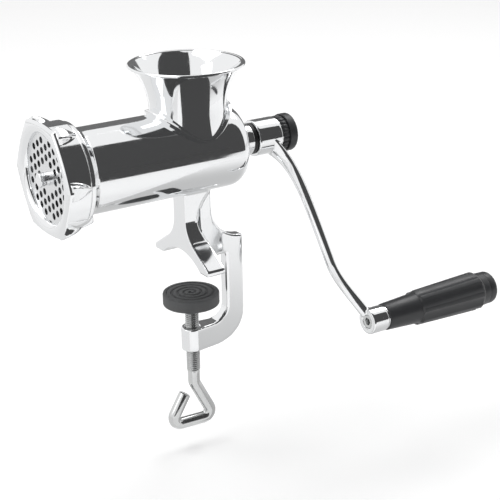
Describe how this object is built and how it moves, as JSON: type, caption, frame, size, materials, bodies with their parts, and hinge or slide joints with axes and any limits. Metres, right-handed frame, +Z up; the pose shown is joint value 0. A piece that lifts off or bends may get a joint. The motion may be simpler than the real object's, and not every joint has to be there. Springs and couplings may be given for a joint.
{
  "type": "hand crank meat grinder",
  "caption": "Table-clamp meat grinder: barrel with trumpet hopper, worm, cross knife, perforated plate and lugged ring nut, turned by an S-shaped crank.",
  "frame": {"origin": "midway between the two feet, in the plane of their soles, which is the top of the table", "axes": "+X along the barrel from the ring nut to the crank, +Z up, -Z is the way the feet press on the table"},
  "size_m": [0.3082, 0.1363, 0.2655],
  "materials": {
    "polished_steel": "mirror polished stainless steel",
    "turned_steel": "fine turned stainless steel",
    "zinc_steel": "bright zinc-plated steel",
    "black_plastic": "satin black moulded plastic",
    "black_nylon": "matt black nylon",
    "black_rubber": "matt black rubber"
  },
  "bodies": {
    "frame": {"body_casting": "polished_steel", "plate_key": "turned_steel", "rear_bush": "black_nylon", "thrust_washer": "turned_steel"},
    "crank": {"auger": "turned_steel", "knife_stud": "polished_steel", "cross_knife": "turned_steel", "crank_arm": "polished_steel", "handle_screw": "zinc_steel", "handle_washer": "polished_steel", "handle_spindle": "turned_steel"},
    "grip": {"handle_grip": "black_plastic", "grip_end_cap": "black_plastic"},
    "plate": {"perforated_plate": "turned_steel"},
    "ring": {"ring_nut": "polished_steel"},
    "pad": {"clamp_pad": "black_rubber"},
    "screw": {"clamp_screw": "zinc_steel", "pad_disc": "zinc_steel"},
    "washer": {"crank_washer": "zinc_steel"},
    "knob": {"crank_knob": "black_plastic", "knob_stud": "zinc_steel"}
  },
  "joints": [
    {"name": "crank_turn", "type": "hinge", "parent": "frame", "child": "crank", "pos_m": [0, 0, 0.078], "axis": [1, 0, 0], "continuous": true},
    {"name": "grip_spin", "type": "hinge", "parent": "crank", "child": "grip", "pos_m": [0.13, -0.08231, -0.03955], "axis": [1, 0, 0], "continuous": true},
    {"name": "plate_slide", "type": "slide", "parent": "frame", "child": "plate", "axis": [-1, 0, 0], "range_m": [0, 0.012]},
    {"name": "ring_turn", "type": "hinge", "parent": "plate", "child": "ring", "pos_m": [-0.096, 0, 0.078], "axis": [-1, 0, 0], "range_deg": [0, 1438]},
    {"name": "pad_slide", "type": "slide", "parent": "frame", "child": "pad", "axis": [0, 0, 1], "range_m": [-0.014, 0.02]},
    {"name": "clamp_turn", "type": "hinge", "parent": "pad", "child": "screw", "pos_m": [0, 0, -0.058], "axis": [0, 0, 1], "range_deg": [-3355, 4795]},
    {"name": "washer_slide", "type": "slide", "parent": "crank", "child": "washer", "axis": [1, 0, 0], "range_m": [0, 0.015]},
    {"name": "knob_turn", "type": "hinge", "parent": "washer", "child": "knob", "pos_m": [0.075, 0, 0.078], "axis": [1, 0, 0], "range_deg": [0, 4315]}
  ],
  "couplings": [
    {"joint": "plate_slide", "follows": "ring_turn", "m_per_rad": 0.00047746},
    {"joint": "pad_slide", "follows": "clamp_turn", "m_per_rad": 0.00023873},
    {"joint": "washer_slide", "follows": "knob_turn", "m_per_rad": 0.00019894}
  ]
}
